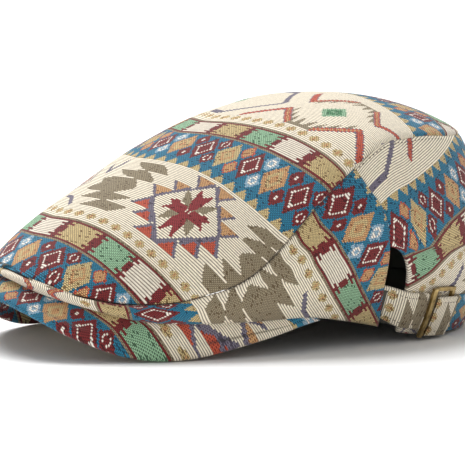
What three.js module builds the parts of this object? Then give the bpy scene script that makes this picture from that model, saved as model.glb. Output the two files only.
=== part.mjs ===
import * as THREE from 'three';
import { mergeVertices } from 'three/addons/utils/BufferGeometryUtils.js';

// A flat cap of patterned woven cloth: a top panel, a side panel that narrows to a strip round
// the front, a back panel, an arched peak, and a strap with a brass slide at the left rear.
// Millimetres, +Z up. The peak points towards -Y and the wearer's left is +X. The ground is
// z = 0, and the origin lies under the middle of the cap's bounding box.

// Driving sizes
const CLOTH = 2.0;            // cloth with its backing
const PEAK_THICK = 3.6;       // board with cloth on both faces
const GAP = 0.3;              // between neighbouring pieces
const CENTRE_Y = 30.29;       // from the middle of the head opening to the origin
const STRAP_CLOTH = 1.8;      // folded strap cloth
const BRASS_THICK = 1.6;      // slide, front to back
const BRASS_WIDTH = 2.4;      // slide, width of each upright bar
const RAIL_WIDTH = 1.9;       // slide, width of each rail

// Mesh density
const COLUMN_STEP = 4;        // degrees of station angle between columns
const TOP_RINGS = 11;
const RING_CROWDING = 1.5;    // above 1 the rings lie closer near the seam
const SIDE_ROWS = 7;
const ARCH_ROWS = 5;
const BACK_COLUMNS = 44;
const TEMPLE_COLUMNS = 4;     // from the rear seam to the end of the peak
const PEAK_INNER_ROWS = 5;    // from the root to the hem
const PEAK_OUTER_ROWS = 4;    // from the hem to the edge
const STRAP_COLUMNS = 15;
const TAB_COLUMNS = 8;
const STRAP_ROWS = 4;
const NORMAL_STEP = { angle: 0.5, fraction: 0.01 };  // for slopes measured on a surface

// The crown's wall, one row for each station from the middle of the back (0) by the left side
// (90) to the middle of the front (180). The right half mirrors it. Each section runs from the
// hem over the belly to the seam of the top panel.
const CROWN = rowsOf(
  ['angle', 'hemX', 'hemY', 'hemZ', 'bellyX', 'bellyY', 'bellyZ', 'seamX', 'seamY', 'seamZ'], [
  [0,       0,      100,    0.1,    0,        112,      50,       0,       92,      101],
  [30,      41,     86,     0.1,    48,       97,       50,       42,      82,      102.5],
  [55,      67,     58,     1.0,    79,       66,       52,       68,      59,      103],
  [75,      77.5,   24,     4.5,    92,       27,       54,       79,      26,      103.5],
  [90,      80,     -4,     12,     94,       -4,       54,       85,      -2,      96.5],
  [97,      83.4,   -30,    17,     92,       -30,      47,       87.5,    -28,     77.5],
  [108,     80.3,   -62,    17.1,   87,       -64,      30,       83.8,    -64,     43],
  [120,     74,     -91.2,  17.2,   79,       -93,      24.5,     77,      -92.5,   31.3],
  [135,     63,     -117.5, 19,     67,       -120,     24,       64,      -120,    28],
  [150,     48.4,   -139.6, 25.2,   50,       -143.1,   29,       47,      -142.1,  31.5],
  [165,     27,     -155.8, 31.5,   28,       -158.8,   36,       26,      -157.3,  38],
  [180,     0,      -161,   36.5,   0,        -164.5,   39.5,     0,       -162,    42],
]);

// The top panel's ridge, from the front seam to the back seam
const RIDGE = rowsOf(
  ['y', 'z'], [
  [-162, 42],
  [-150, 53.3],
  [-132, 66.3],
  [-105, 81.4],
  [-75,  98.3],
  [-45,  111],
  [-10,  119.1],
  [30,   122.8],
  [65,   115.2],
  [92,   101],
]);
const TOP_SQUARE = 2.2;       // across the cap the top panel is an arch between ellipse and box
const TOP_ROUND = 1.5;
const TOP_MIDDLE = -20;       // where its mesh closes, along Y

// The peak, by the same stations: its root at the head opening and its outer edge. Between them
// its upper face carries the crown's hem, at the fraction PEAK_HEM of the way.
const PEAK = rowsOf(
  ['angle', 'rootX', 'rootY', 'rootZ', 'edgeX', 'edgeY', 'edgeZ'], [
  [97,      80,      -25,     17.5,    84.4,    -29,     16.4],
  [108,     69,      -53,     19,      83.4,    -61,     8.6],
  [120,     56,      -74,     27,      77.4,    -93,     1.67],
  [135,     40,      -88,     35,      67.0,    -122.5,  1.97],
  [150,     25,      -95,     41,      51,      -149.0,  12.4],
  [165,     13,      -98,     44,      29,      -166.5,  25],
  [180,     0,       -99,     45,      0,       -173,    31],
]);
const PEAK_HEM = 0.72;
const PEAK_END = 97;          // station where the peak runs out at the temple
const PEAK_FULL = 112;        // from here forwards it has its full thickness
const PEAK_THIN = 1.4;        // its thickness where it runs out

// Rear seam between the side panel and the back panel: station angle by height fraction
const REAR_SEAM = rowsOf(
  ['height', 'angle'], [
  [0,        85],
  [0.2,      86.5],
  [0.45,     86.7],
  [0.64,     88],
  [0.82,     90.7],
  [1,        92.5],
]);
const REAR_SEAM_MIDDLE = 88;

// Arched opening behind the left rear seam, over the strap
const ARCH_TOP = 0.45;        // height fraction of its crown
const ARCH_SPRING = 0.23;     // height fraction where its curve starts
const ARCH_DEG = 7.6;         // its width in degrees of station angle

// Strap, tab and slide, as station angles, height fractions and stand-off from the crown
const STRAP_LOW = 0.035;
const STRAP_HIGH = 0.225;
const STRAP_END = 66.5;
const STRAP_START = 90.5;     // its sewn end, inside the side panel
const STRAP_CLEAR = 85.2;     // up to here it lies inside the side panel
const STRAP_RISEN = 79.4;     // from here it lies outside the back panel
const STRAP_OFF = 0.4;
const STRAP_INNER_GAP = 0.45; // behind the side panel
const TAB_START = 68.6;
const TAB_END = 58.6;
const TAB_LOW = 0.012;
const TAB_HIGH = 0.212;
const TAB_BEND = 60.4;        // from here the tab drops back on to the panel
const SLIDE_START = 71.0;
const SLIDE_END = 61.4;
const SLIDE_LOW = 0.006;
const SLIDE_HIGH = 0.252;
const SLIDE_RAIL_ANGLES = [69.4, 68.3, 65];     // corners along each rail
const SLIDE_BAR_HEIGHTS = [0.07, 0.13, 0.19];   // corners along each upright bar
const SLIDE_FLAT = 0.14;      // share of its length that lies over the strap
const SLIDE_SLOPE = 0.12;     // share over which its rails slope back

function rowsOf(names, rows) {
  return rows.map((row) => Object.fromEntries(names.map((name, i) => [name, row[i]])));
}

// Smooth value of one column: cubic Hermite with slopes from the neighbouring rows
function smoothAt(keys, values, key) {
  const slope = (i) => {
    const before = keys[i] - keys[i - 1];
    const after = keys[i + 1] - keys[i];
    const left = (values[i] - values[i - 1]) / before;
    const right = (values[i + 1] - values[i]) / after;
    return (left * after + right * before) / (before + after);
  };
  let i = 1;
  while (i < keys.length - 3 && key >= keys[i + 1]) i += 1;
  const span = keys[i + 1] - keys[i];
  const s = (key - keys[i]) / span;
  const s2 = s * s;
  const s3 = s2 * s;
  return (2 * s3 - 3 * s2 + 1) * values[i] + (s3 - 2 * s2 + s) * span * slope(i)
    + (3 * s2 - 2 * s3) * values[i + 1] + (s3 - s2) * span * slope(i + 1);
}

// A column of a station table. Past the middle of the back or front the rows go on as the mirror
// image of the left side, in which columns of X change sign.
function stationValue(table, name, angle) {
  const sign = name.endsWith('X') ? -1 : 1;
  const keys = table.map((row) => row.angle);
  const values = table.map((row) => row[name]);
  const last = keys.length - 1;
  const closedAtBack = keys[0] === 0;
  const before = closedAtBack ? -keys[1] : 2 * keys[0] - keys[1];
  const valueBefore = closedAtBack ? sign * values[1] : 2 * values[0] - values[1];
  const folded = angle > 180 ? 360 - angle : Math.abs(angle);
  const mirrored = angle > 180 || angle < 0;
  const value = smoothAt(
    [before, ...keys, 360 - keys[last - 1]],
    [valueBefore, ...values, sign * values[last - 1]], folded);
  return mirrored ? sign * value : value;
}

function stationPoint(table, prefix, angle) {
  return new THREE.Vector3(...['X', 'Y', 'Z'].map((c) => stationValue(table, prefix + c, angle)));
}

// A column of a table that goes on in a straight line past both ends
function openValue(table, keyName, name, key) {
  const keys = table.map((row) => row[keyName]);
  const values = table.map((row) => row[name]);
  const last = keys.length - 1;
  return smoothAt(
    [2 * keys[0] - keys[1], ...keys, 2 * keys[last] - keys[last - 1]],
    [2 * values[0] - values[1], ...values, 2 * values[last] - values[last - 1]], key);
}

function rearSeamAngle(height) {
  return openValue(REAR_SEAM, 'height', 'angle', height);
}

// Width of the arched opening at a height, in degrees of station angle
function archWidth(height) {
  if (height >= ARCH_TOP) return 0;
  const rise = Math.max(0, height - ARCH_SPRING) / (ARCH_TOP - ARCH_SPRING);
  return ARCH_DEG * Math.sqrt(1 - rise * rise);
}

function inwardAt(angle) {
  const step = 1;
  const ahead = stationPoint(CROWN, 'belly', angle + step);
  const behind = stationPoint(CROWN, 'belly', angle - step);
  const along = ahead.sub(behind).setZ(0).normalize();
  return new THREE.Vector3(along.y, -along.x, 0);
}

// The three points that a parabola passes through at the fractions 0, middle and 1
function parabola(start, through, end, middle, t) {
  const point = new THREE.Vector3();
  point.addScaledVector(start, ((t - middle) * (t - 1)) / middle);
  point.addScaledVector(through, (t * (t - 1)) / (middle * (middle - 1)));
  point.addScaledVector(end, (t * (t - middle)) / (1 - middle));
  return point;
}

function peakSurface(angle, t) {
  return parabola(
    stationPoint(PEAK, 'root', angle), stationPoint(CROWN, 'hem', angle),
    stationPoint(PEAK, 'edge', angle), PEAK_HEM, t);
}

// Hem, belly and seam of one section, on the outer face (depth 0) or the inner face (depth 1)
function crownSection(angle, depth) {
  const inward = inwardAt(angle).multiplyScalar(CLOTH * depth);
  const hem = stationPoint(CROWN, 'hem', angle);
  const fromFront = Math.min(angle, 360 - angle);
  if (depth > 0 && fromFront >= PEAK_END) {
    const reach = stationPoint(PEAK, 'root', angle).distanceTo(hem) / PEAK_HEM;
    hem.copy(peakSurface(angle, PEAK_HEM - CLOTH * depth / reach));
  } else {
    hem.add(inward);
  }
  const belly = stationPoint(CROWN, 'belly', angle).add(inward);
  const seam = stationPoint(CROWN, 'seam', angle).add(inward);
  seam.z -= CLOTH * depth;
  return { hem, belly, seam };
}

// A point of the crown's wall, from the hem (height 0) to the seam (height 1)
function wallPoint(angle, height, depth = 0) {
  const { hem, belly, seam } = crownSection(angle, depth);
  return parabola(hem, belly, seam, 0.5, height);
}

// The station whose seam point has the given Y, found by halving
function stationAtLength(y) {
  let low = 0;
  let high = 180;
  while (high - low > 0.001) {
    const middle = (low + high) / 2;
    if (stationValue(CROWN, 'seamY', middle) > y) low = middle;
    else high = middle;
  }
  return (low + high) / 2;
}

// Height of the top panel's outer face: an arch from seam to seam, as high as the ridge
function topHeight(x, y) {
  const seam = stationPoint(CROWN, 'seam', stationAtLength(y));
  const share = Math.min(1, Math.abs(x) / seam.x);
  const arch = (1 - share ** TOP_SQUARE) ** (1 / TOP_ROUND);
  return seam.z + (openValue(RIDGE, 'y', 'z', y) - seam.z) * arch;
}

// A point of the top panel, from the seam (reach 0) to the middle (reach 1)
function topPoint(angle, reach, depth) {
  const { seam } = crownSection(angle, reach === 0 ? depth : 0);
  if (reach === 0) return seam.setZ(seam.z + GAP / 2);
  const place = seam.lerp(new THREE.Vector3(0, TOP_MIDDLE, 0), reach);
  place.z = topHeight(place.x, place.y);
  const step = 1;
  const fallX = topHeight(place.x - step, place.y) - topHeight(place.x + step, place.y);
  const fallY = topHeight(place.x, place.y - step) - topHeight(place.x, place.y + step);
  const normal = new THREE.Vector3(fallX, fallY, 2 * step).normalize();
  return place.addScaledVector(normal, -CLOTH * depth);
}

// Normal of a surface given as a function of a station angle and a fraction. It points out of the
// peak's upper face and into the crown's wall.
function normalOf(surface, angle, fraction) {
  const { angle: turn, fraction: rise } = NORMAL_STEP;
  const alongU = surface(angle + turn, fraction).sub(surface(angle - turn, fraction));
  const alongV = surface(angle, fraction + rise).sub(surface(angle, fraction - rise));
  return alongU.cross(alongV).normalize();
}

// A point at a stand-off outside the crown's wall
function outsidePoint(angle, height, standOff) {
  const normal = normalOf(wallPoint, angle, height);
  return wallPoint(angle, height).addScaledVector(normal, -standOff);
}

// A closed sheet: an outer and an inner face over the same grid, and a rim round all four sides.
// outer and inner give a point for a column and a row.
function sheetGeometry(columns, rows, outer, inner) {
  const positions = [];
  const point = (face, c, r) => (face * columns + c) * rows + r;
  for (const face of [outer, inner]) {
    for (let c = 0; c < columns; c += 1) {
      for (let r = 0; r < rows; r += 1) positions.push(...face(c, r).toArray());
    }
  }
  const index = [];
  const quad = (a, b, c, d) => index.push(a, b, c, a, c, d);
  for (let c = 0; c < columns - 1; c += 1) {
    for (let r = 0; r < rows - 1; r += 1) {
      quad(point(0, c, r), point(0, c + 1, r), point(0, c + 1, r + 1), point(0, c, r + 1));
      quad(point(1, c, r), point(1, c, r + 1), point(1, c + 1, r + 1), point(1, c + 1, r));
    }
  }
  for (let c = 0; c < columns - 1; c += 1) {
    quad(point(0, c, 0), point(1, c, 0), point(1, c + 1, 0), point(0, c + 1, 0));
    quad(point(0, c, rows - 1), point(0, c + 1, rows - 1),
      point(1, c + 1, rows - 1), point(1, c, rows - 1));
  }
  for (let r = 0; r < rows - 1; r += 1) {
    quad(point(0, 0, r), point(0, 0, r + 1), point(1, 0, r + 1), point(1, 0, r));
    quad(point(0, columns - 1, r), point(1, columns - 1, r),
      point(1, columns - 1, r + 1), point(0, columns - 1, r + 1));
  }
  return closedGeometry(positions, index);
}

// A ring of cross-sections joined end to end, each with the same number of corners
function ringGeometry(sections) {
  const corners = sections[0].length;
  const positions = sections.flat().flatMap((corner) => corner.toArray());
  const index = [];
  sections.forEach((section, s) => {
    const here = s * corners;
    const next = ((s + 1) % sections.length) * corners;
    for (let c = 0; c < corners; c += 1) {
      const d = (c + 1) % corners;
      index.push(here + c, next + c, next + d, here + c, next + d, here + d);
    }
  });
  return closedGeometry(positions, index);
}

// The mesh with its faces turned out, whichever way they were wound
function closedGeometry(positions, index) {
  let geometry = new THREE.BufferGeometry();
  geometry.setAttribute('position', new THREE.Float32BufferAttribute(positions, 3));
  geometry.setIndex(signedVolume(positions, index) < 0 ? index.toReversed() : index);
  geometry = mergeVertices(geometry, 1e-4);
  geometry.computeVertexNormals();
  return geometry;
}

function signedVolume(positions, index) {
  const corner = (i) => new THREE.Vector3().fromArray(positions, 3 * i);
  let volume = 0;
  for (let i = 0; i < index.length; i += 3) {
    const [a, b, c] = [0, 1, 2].map((k) => corner(index[i + k]));
    volume += a.dot(b.cross(c));
  }
  return volume;
}

function evenly(from, to, count) {
  return Array.from({ length: count }, (_, i) => from + ((to - from) * i) / (count - 1));
}

// Fraction of a length that leaves half a gap at its end
function halfGap(length) {
  return GAP / 2 / length;
}

// Length along the crown of one degree of station angle
function arcPerDegree(angle, height) {
  return wallPoint(angle + 0.5, height).distanceTo(wallPoint(angle - 0.5, height));
}

// Half a gap at the rear seam, in degrees
function rearSeamGap(height) {
  return GAP / 2 / arcPerDegree(REAR_SEAM_MIDDLE, height);
}

function topPanel() {
  const columns = 360 / COLUMN_STEP;
  const positions = [];
  const index = [];
  const rings = TOP_RINGS;
  for (const depth of [0, 1]) {
    for (let c = 0; c < columns; c += 1) {
      for (let r = 0; r < rings; r += 1) {
        const reach = (r / rings) ** RING_CROWDING;
        positions.push(...topPoint(c * COLUMN_STEP, reach, depth).toArray());
      }
    }
  }
  positions.push(...topPoint(0, 1, 0).toArray(), ...topPoint(0, 1, 1).toArray());
  const pole = 2 * columns * rings;
  const point = (depth, c, r) => (depth * columns + (c % columns)) * rings + r;
  for (let c = 0; c < columns; c += 1) {
    for (let r = 0; r < rings - 1; r += 1) {
      const corners = (depth) => [[0, 0], [1, 0], [1, 1], [0, 1]].map(
        ([along, up]) => point(depth, c + along, r + up));
      const [a, b, d, e] = corners(0);
      index.push(a, b, d, a, d, e);
      const [f, g, h, i] = corners(1);
      index.push(f, h, g, f, i, h);
    }
    index.push(point(0, c, rings - 1), point(0, c + 1, rings - 1), pole);
    index.push(point(1, c, rings - 1), pole + 1, point(1, c + 1, rings - 1));
    const [a, b] = [point(0, c, 0), point(0, c + 1, 0)];
    const [f, g] = [point(1, c, 0), point(1, c + 1, 0)];
    index.push(a, f, g, a, g, b);
  }
  return closedGeometry(positions, index);
}

// Heights of the rows of a wall panel, closest round the arched opening
function wallHeights(section) {
  const end = 1 - halfGap(section.seam.distanceTo(section.belly) * 2);
  return [
    ...evenly(0, ARCH_SPRING, 3).slice(0, -1),
    ...evenly(0, Math.PI / 2, ARCH_ROWS).map(
      (turn) => ARCH_SPRING + (ARCH_TOP - ARCH_SPRING) * Math.sin(turn)),
    ...evenly(ARCH_TOP, end, SIDE_ROWS - 1).slice(1),
  ];
}

// A panel of the crown's wall. stationsAt lists the station angles of its columns at a height.
function wallPanel(stationsAt) {
  const hemStations = stationsAt(0);
  const columnHeights = hemStations.map((angle) => wallHeights(crownSection(angle, 0)));
  const face = (depth) => (c, r) => {
    const height = columnHeights[c][r];
    return wallPoint(stationsAt(height)[c], height, depth);
  };
  return sheetGeometry(hemStations.length, columnHeights[0].length, face(0), face(1));
}

// Columns over the peak, which its own columns and the side panel's share
function peakStations() {
  const inner = [];
  const first = Math.ceil(PEAK_END / COLUMN_STEP) * COLUMN_STEP;
  for (let angle = first; angle <= 360 - first; angle += COLUMN_STEP) inner.push(angle);
  return [PEAK_END, ...inner, 360 - PEAK_END];
}

// The side panel runs from the left rear seam round the front to the right rear seam
function sidePanel() {
  const overPeak = peakStations();
  return wallPanel((height) => {
    const rear = rearSeamAngle(height) + rearSeamGap(height);
    const toPeak = evenly(rear, PEAK_END, TEMPLE_COLUMNS).slice(0, -1);
    return [...toPeak, ...overPeak, ...toPeak.map((angle) => 360 - angle).reverse()];
  });
}

function backPanel() {
  return wallPanel((height) => {
    const edge = rearSeamAngle(height) - rearSeamGap(height);
    return evenly(-edge, edge - archWidth(height), BACK_COLUMNS);
  });
}

function peak() {
  const angles = peakStations();
  const fractions = [
    ...evenly(0, PEAK_HEM, PEAK_INNER_ROWS), ...evenly(PEAK_HEM, 1, PEAK_OUTER_ROWS).slice(1)];
  const thickness = (angle) => {
    const share = Math.min(1, (Math.min(angle, 360 - angle) - PEAK_END) / (PEAK_FULL - PEAK_END));
    return PEAK_THIN + (PEAK_THICK - PEAK_THIN) * share;
  };
  const face = (depth) => (c, r) => {
    const normal = normalOf(peakSurface, angles[c], fractions[r]);
    const sink = GAP + depth * thickness(angles[c]);
    return peakSurface(angles[c], fractions[r]).addScaledVector(normal, -sink);
  };
  return sheetGeometry(angles.length, fractions.length, face(0), face(1));
}

// A flat cloth strip laid on the crown, from one station to another
function clothStrip(from, to, low, high, standOff, count) {
  const angles = evenly(from, to, count);
  const heights = evenly(low, high, STRAP_ROWS);
  const face = (extra) => (c, r) => (
    outsidePoint(angles[c], heights[r], standOff(angles[c]) + extra));
  return sheetGeometry(count, heights.length, face(STRAP_CLOTH), face(0));
}

// Starts inside the side panel and comes out through the opening to lie on the back panel
function strap() {
  const inside = -CLOTH - STRAP_INNER_GAP - STRAP_CLOTH;
  const standOff = (angle) => {
    const share = Math.min(1, Math.max(0, (STRAP_CLEAR - angle) / (STRAP_CLEAR - STRAP_RISEN)));
    return inside + (STRAP_OFF - inside) * share;
  };
  return clothStrip(STRAP_START, STRAP_END, STRAP_LOW, STRAP_HIGH, standOff, STRAP_COLUMNS);
}

// The folded end that holds the slide: it lies over the strap's end and drops to the panel
function strapTab() {
  const above = STRAP_OFF + STRAP_CLOTH + GAP;
  const standOff = (angle) => {
    const share = Math.max(0, (TAB_BEND - angle) / (TAB_BEND - TAB_END));
    return above + (STRAP_OFF - above) * share;
  };
  return clothStrip(TAB_START, TAB_END, TAB_LOW, TAB_HIGH, standOff, TAB_COLUMNS);
}

// A rectangular brass loop: its front bar crosses over the strap, its rails slope back and its
// rear bar lies under the tab
function slide() {
  const front = STRAP_OFF + STRAP_CLOTH + GAP;
  const standOffAt = (angle) => {
    const share = (SLIDE_START - angle) / (SLIDE_START - SLIDE_END);
    const slope = Math.min(1, Math.max(0, (share - SLIDE_FLAT) / SLIDE_SLOPE));
    return front + (STRAP_OFF - front) * slope;
  };
  const middle = (SLIDE_START + SLIDE_END) / 2;
  const tall = wallPoint(middle, SLIDE_HIGH).distanceTo(wallPoint(middle, SLIDE_LOW));
  const barDegrees = BRASS_WIDTH / arcPerDegree(middle, (SLIDE_LOW + SLIDE_HIGH) / 2);
  const railHeight = (RAIL_WIDTH * (SLIDE_HIGH - SLIDE_LOW)) / tall;
  // A cross-section of the loop from its outer edge to the inner edge that lies inAngle and
  // inHeight away
  const section = ([angle, height, inAngle, inHeight]) => {
    const outer = (standOff) => outsidePoint(angle, height, standOffAt(angle) + standOff);
    const inner = (standOff) => outsidePoint(
      angle + inAngle, height + inHeight, standOffAt(angle + inAngle) + standOff);
    return [outer(0), outer(BRASS_THICK), inner(BRASS_THICK), inner(0)];
  };
  const path = [
    [SLIDE_START, SLIDE_LOW, -barDegrees, railHeight],
    ...SLIDE_RAIL_ANGLES.map((angle) => [angle, SLIDE_LOW, 0, railHeight]),
    [SLIDE_END, SLIDE_LOW, barDegrees, railHeight],
    ...SLIDE_BAR_HEIGHTS.map((height) => [SLIDE_END, height, barDegrees, 0]),
    [SLIDE_END, SLIDE_HIGH, barDegrees, -railHeight],
    ...SLIDE_RAIL_ANGLES.toReversed().map((angle) => [angle, SLIDE_HIGH, 0, -railHeight]),
    [SLIDE_START, SLIDE_HIGH, -barDegrees, -railHeight],
    ...SLIDE_BAR_HEIGHTS.toReversed().map((height) => [SLIDE_START, height, -barDegrees, 0]),
  ];
  return ringGeometry(path.map(section));
}

function clothMaterial(colour) {
  return new THREE.MeshStandardMaterial({ color: colour, roughness: 0.9, metalness: 0 });
}

const COLOURS = {
  cream: 0xd9cfb8,
  blue: 0x2d6f92,
  sand: 0xcbbd9f,
  maroon: 0x7a3a35,
  strap: 0xc9bfa8,
  brass: 0x9a8050,
};

const PIECES = [
  ['top_panel', topPanel(), clothMaterial(COLOURS.cream)],
  ['side_panel', sidePanel(), clothMaterial(COLOURS.sand)],
  ['back_panel', backPanel(), clothMaterial(COLOURS.blue)],
  ['peak', peak(), clothMaterial(COLOURS.maroon)],
  ['strap', strap(), clothMaterial(COLOURS.strap)],
  ['strap_tab', strapTab(), clothMaterial(COLOURS.strap)],
  ['slide_buckle', slide(),
    new THREE.MeshStandardMaterial({ color: COLOURS.brass, roughness: 0.35, metalness: 1 })],
];

const cap = new THREE.Group();
cap.name = 'cap';
for (const [name, geometry, material] of PIECES) {
  const mesh = new THREE.Mesh(geometry, material);
  mesh.name = name;
  cap.add(mesh);
}
cap.position.y = CENTRE_Y;

export default cap;
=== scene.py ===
import math

import bmesh
import bpy
import numpy as np
from mathutils import Matrix, Vector


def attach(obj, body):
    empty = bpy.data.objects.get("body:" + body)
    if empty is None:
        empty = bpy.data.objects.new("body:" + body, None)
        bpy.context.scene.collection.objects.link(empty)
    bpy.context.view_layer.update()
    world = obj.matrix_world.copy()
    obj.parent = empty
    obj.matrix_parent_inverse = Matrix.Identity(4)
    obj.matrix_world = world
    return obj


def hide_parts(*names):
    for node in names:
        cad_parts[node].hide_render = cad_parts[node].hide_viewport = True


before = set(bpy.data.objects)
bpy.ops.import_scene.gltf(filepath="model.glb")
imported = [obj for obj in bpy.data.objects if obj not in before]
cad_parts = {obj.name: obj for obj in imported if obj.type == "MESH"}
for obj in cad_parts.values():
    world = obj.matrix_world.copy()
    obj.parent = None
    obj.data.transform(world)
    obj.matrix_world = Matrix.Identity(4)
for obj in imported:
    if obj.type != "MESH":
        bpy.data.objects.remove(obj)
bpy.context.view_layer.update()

bl_info = {
    "name": "Kilim flat cap",
    "version": (1, 0, 0),
    "blender": (4, 5, 0),
    "location": "View3D > Sidebar > Flat cap",
    "description": "Dresses the flat cap's solids in kilim cloth, stitching and brass",
    "category": "Object",
}

MM = 0.001
CENTRE_Y = 30.29      # the tables are written about the middle of the head opening

# Stations round the crown, back 0 to wearer's left 90 to front 180, in mm
CROWN = np.array((
    (0, 0, 100, 0.1, 0, 112, 50, 0, 92, 101),
    (30, 41, 86, 0.1, 48, 97, 50, 42, 82, 102.5),
    (55, 67, 58, 1.0, 79, 66, 52, 68, 59, 103),
    (75, 77.5, 24, 4.5, 92, 27, 54, 79, 26, 103.5),
    (90, 80, -4, 12, 94, -4, 54, 85, -2, 96.5),
    (97, 83.4, -30, 17, 92, -30, 47, 87.5, -28, 77.5),
    (108, 80.3, -62, 17.1, 87, -64, 30, 83.8, -64, 43),
    (120, 74, -91.2, 17.2, 79, -93, 24.5, 77, -92.5, 31.3),
    (135, 63, -117.5, 19, 67, -120, 24, 64, -120, 28),
    (150, 48.4, -139.6, 25.2, 50, -143.1, 29, 47, -142.1, 31.5),
    (165, 27, -155.8, 31.5, 28, -158.8, 36, 26, -157.3, 38),
    (180, 0, -161, 36.5, 0, -164.5, 39.5, 0, -162, 42),
), float)
HEM, BELLY, SEAM = 1, 4, 7          # a station's first column for each of its three points

# Places inside the cap that the wall, its panels and the top face away from
WALL_INSIDE, PANEL_INSIDE, TOP_INSIDE = (0, 20, 40), (0, 20, 50), (0, -20, 20)

# The crown's ridge from front to back, in y and z
RIDGE = np.array(((-162, 42), (-150, 53.3), (-132, 66.3), (-105, 81.4), (-75, 98.3), (-45, 111),
                  (-10, 119.1), (30, 122.8), (65, 115.2), (92, 101)), float)
TOP_SQUARE, TOP_ROUND = 2.2, 1.5    # powers that round the crown off from seam to ridge

# Stations round the peak: its root, then its edge
PEAK = np.array((
    (97, 80, -25, 17.5, 84.4, -29, 16.4),
    (108, 69, -53, 19, 83.4, -61, 8.6),
    (120, 56, -74, 27, 77.4, -93, 1.67),
    (135, 40, -88, 35, 67.0, -122.5, 1.97),
    (150, 25, -95, 41, 51, -149.0, 12.4),
    (165, 13, -98, 44, 29, -166.5, 25),
    (180, 0, -99, 45, 0, -173, 31),
), float)
PEAK_HEM = 0.72       # where the wall's hem crosses the peak, from root 0 to edge 1

# The rear seam and the opening over the strap: shares of the wall's height, and degrees
ARCH_TOP, ARCH_SPRING, ARCH_DEG = 0.45, 0.23, 7.6
REAR_SEAM = np.array(((0, 85), (0.2, 86.5), (0.45, 86.7), (0.64, 88), (0.82, 90.7), (1, 92.5)))
GAP = 0.3             # between neighbouring solids

# Cloth and sewing, in mm
CLOTH_THICK = 2.0
RELIEF = 0.35
ROLL_DEPTH, ROLL_WIDTH = 0.45, 1.1  # how far the cloth rolls in at a seam
STRAP_THICK, BAND_THICK = 1.8, 0.9
STAND_OFF = 0.4       # between the crown and the strap's free length
BAND_OFF = 0.3        # between the crown and the hem's band
SEWN_IN = 0.45        # between the side panel's lining and the strap's sewn end
PINCH_DEPTH, PINCH_PLACE, PINCH_WIDTH = 0.25, 2.6, 0.7      # where stitches draw a strap's edge in
BINDING_IN, BINDING_RADIUS = 2.6, 1.5
SWEATBAND_OUTER, SWEATBAND_INNER = 2.1, 2.9        # its faces' depths inside the wall

# Shares of the wall's height that the strap, its tab and the bands cover, and degrees round it
STRAP_SPAN, TAB_SPAN, BAND_SPAN = (0.035, 0.225), (0.012, 0.212), (0.012, 0.205)
SWEATBAND_SPAN = (0.02, 0.2)
STRAP_RISE, TAB_FALL = (85.2, 79.4), (60.4, 58.6)

# Stitches: from one to the next, length and thickness in mm
CROWN_STITCH, STRAP_STITCH = (2.6, 1.5, 0.45), (2.4, 1.6, 0.42)

# The cloth's repeat, in mm, ribs and threads
RIB = 1.25
RIBS = 88
BORDER_RIBS = 44
REPEAT = 61.0         # along the borders
BORDER_THREADS = 96
FIELD_THREADS = 144   # where the fields fold back
THREAD = REPEAT / BORDER_THREADS
BORDER_START = 7.75
STAR_AXIS, HEXAGON_AXIS = 57.1, 53.0
CLOTH_UV = "Cloth"

# The cloth's dyes as seen on the threads' faces, then each dye darkened as painted shade for the
# gaps between ribs and floats
FACES = ("FBF0D9", "2C94B8", "9A2C2E", "FBE3A6", "F8C588", "BCEABE", "B2A587",
         "FBF3E6", "BCD8E6", "928A9C", "EA6C4C", "B43A40", "5FA870", "F0E6D4")
PAINTED_SHADES = ("523C26", "0C2C42", "34080A", "5E401C", "6E3820", "173C22", "54412A",
          "7A6254", "3F6C8A", "3E3644", "742018", "4A0E0E", "0F301A", "5E4430")
(CREAM, BLUE, MAROON, GOLD, ORANGE, GREEN, TAUPE,
 WHITE, SKY, LAVENDER, CORAL, CRIMSON, FOREST, PINK) = range(len(FACES))

# The photograph's view, and the studio's lights: name, place, spread and strength
CAMERA_TURN, CAMERA_LIFT, CAMERA_AWAY = 60, 6.5, 1.2
CAMERA_TARGET, CAMERA_LENS = (-6, 3.29, 50.5), 177.44
LIGHTS = (("key", (-0.43, -0.04, 0.85), 0.8, 3.5), ("fill", (0.6, -0.7, 0.9), 1.2, 0.25))
AMBIENT = 0.42
FLOOR_RADIUS = 24.0


def smooth(keys, values, where):
    """The CAD's cubic through a table's values, at every place in where."""
    i = np.clip(np.searchsorted(keys, where, side="right") - 1, 1, len(keys) - 3)

    def slope(j):
        before, after = keys[j] - keys[j - 1], keys[j + 1] - keys[j]
        left, right = (values[j] - values[j - 1]) / before, (values[j + 1] - values[j]) / after
        return (left * after + right * before) / (before + after)

    span = keys[i + 1] - keys[i]
    s = (where - keys[i]) / span
    return ((2 * s**3 - 3 * s**2 + 1) * values[i] + (s**3 - 2 * s**2 + s) * span * slope(i)
            + (3 * s**2 - 2 * s**3) * values[i + 1] + (s**3 - s**2) * span * slope(i + 1))


def smooth_table(table, where):
    """The same cubic through a table of two columns, whose ends carry straight on."""
    ends = np.vstack((2 * table[0] - table[1], table, 2 * table[-1] - table[-2]))
    return smooth(ends[:, 0], ends[:, 1], where)


def between(table, where):
    """Straight lines between the rows of a table of two columns."""
    return np.interp(where, table[:, 0], table[:, 1])


def station_point(table, first, angle):
    """A table's point at each station angle, mirrored past the front and the back."""
    folded = np.where(angle > 180, 360 - angle, np.abs(angle))
    side = np.where((angle > 180) | (angle < 0), -1.0, 1.0)
    closed = table[0, 0] == 0
    keys = table[:, 0]
    ends = np.concatenate(([-keys[1] if closed else 2 * keys[0] - keys[1]], keys, [360 - keys[-2]]))
    point = []
    for k in range(3):
        values = table[:, first + k]
        sign = -1 if k == 0 else 1
        before = sign * values[1] if closed else 2 * values[0] - values[1]
        value = smooth(ends, np.concatenate(([before], values, [sign * values[-2]])), folded)
        point.append(value * side if k == 0 else value)
    return np.stack(point, -1)


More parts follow.
